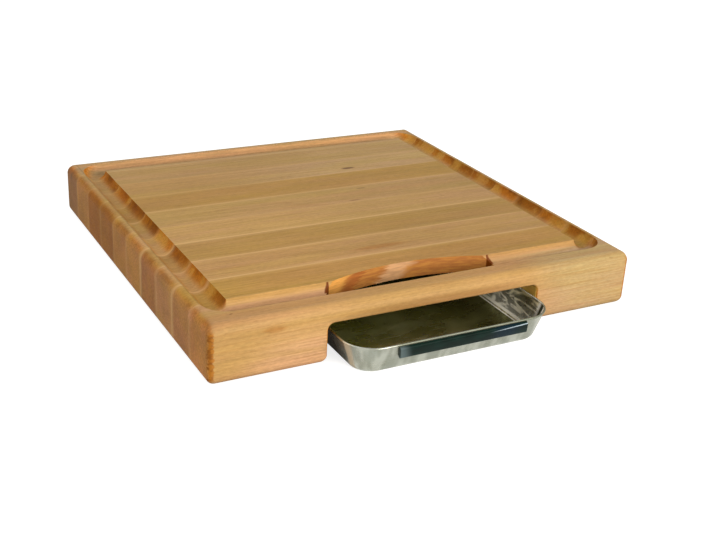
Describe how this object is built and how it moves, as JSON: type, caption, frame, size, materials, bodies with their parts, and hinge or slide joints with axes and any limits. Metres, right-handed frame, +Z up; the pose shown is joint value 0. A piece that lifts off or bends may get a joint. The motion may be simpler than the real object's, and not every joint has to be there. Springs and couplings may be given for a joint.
{
  "type": "cutting board with slide-out tray",
  "caption": "Thick maple cutting board with a juice groove, a scraping opening and a steel tray that slides out from under it.",
  "frame": {"origin": "bottom centre of the whole object at rest, with the tray drawn out a little, on the surface it stands on", "axes": "+X to the right along the front edge, +Y from the front, where the tray comes out, to the back, +Z up"},
  "size_m": [0.4572, 0.501, 0.0571],
  "materials": {
    "maple": "oiled edge-grain maple",
    "steel": "pressed stainless sheet, lightly brushed",
    "grip": "glossy, nearly black"
  },
  "bodies": {
    "board": {"stave_01_front": "maple", "stave_02": "maple", "stave_03": "maple", "stave_04": "maple", "stave_05": "maple", "stave_06": "maple", "stave_07": "maple", "stave_08": "maple", "stave_09": "maple", "stave_10_back": "maple"},
    "tray": {"tray": "steel", "grip_strip": "grip"}
  },
  "joints": [
    {"name": "tray_slide", "type": "slide", "parent": "board", "child": "tray", "axis": [0, -1, 0], "range_m": [-0.04265, 0.22]}
  ]
}
